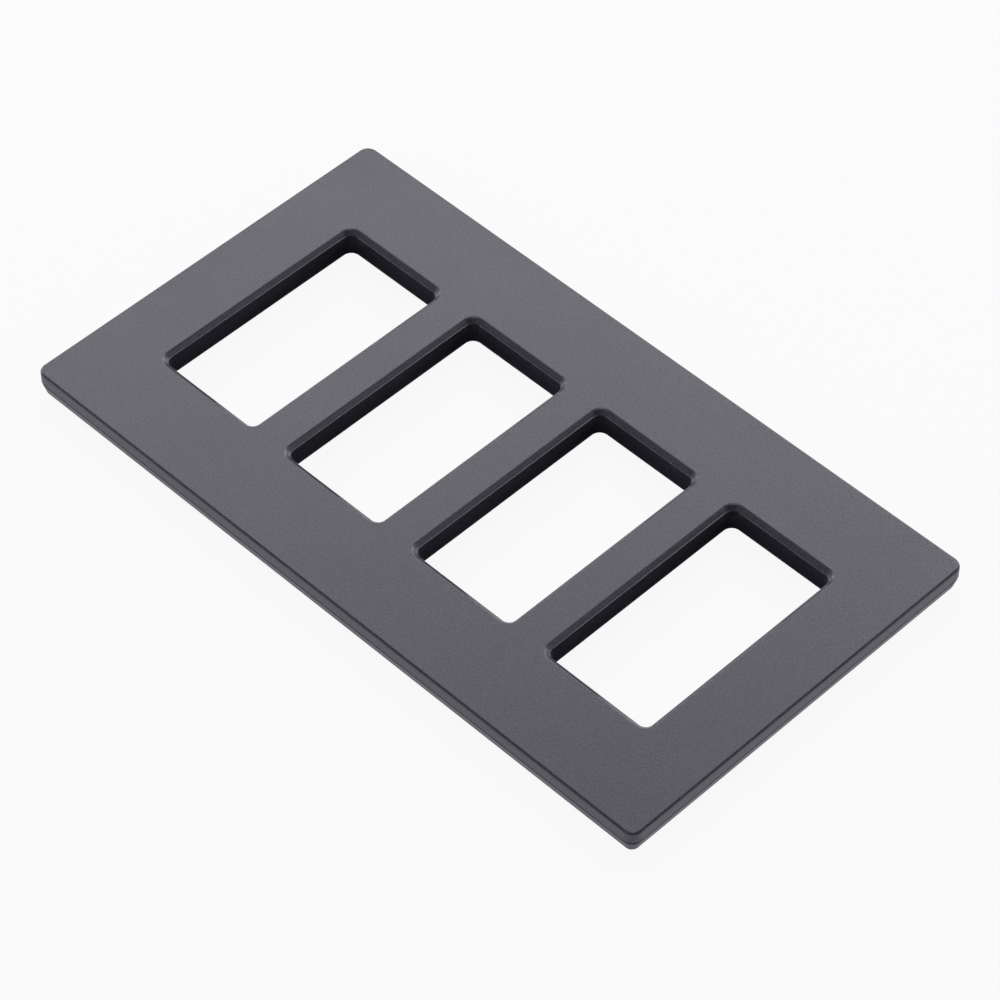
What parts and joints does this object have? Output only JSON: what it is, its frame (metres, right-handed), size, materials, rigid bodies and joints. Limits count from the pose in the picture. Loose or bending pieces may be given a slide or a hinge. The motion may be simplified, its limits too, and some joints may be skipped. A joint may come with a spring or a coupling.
{
  "type": "wall plate",
  "caption": "Screwless wall plate for a row of rocker switches: a bevelled faceplate that snaps onto a screwed-on adapter.",
  "frame": {"origin": "centre of the plate in the plane of the wall, which is its back", "axes": "+X along the row of windows, +Y up the wall, along the height of the windows, +Z out of the wall, through the front"},
  "size_m": [0.2126, 0.119, 0.0076],
  "materials": {
    "face_plastic": "fine moulded grain, matt",
    "adapter_plastic": "smooth moulded, matt"
  },
  "bodies": {
    "root": {"faceplate": "face_plastic", "adapter": "adapter_plastic"}
  },
  "joints": []
}
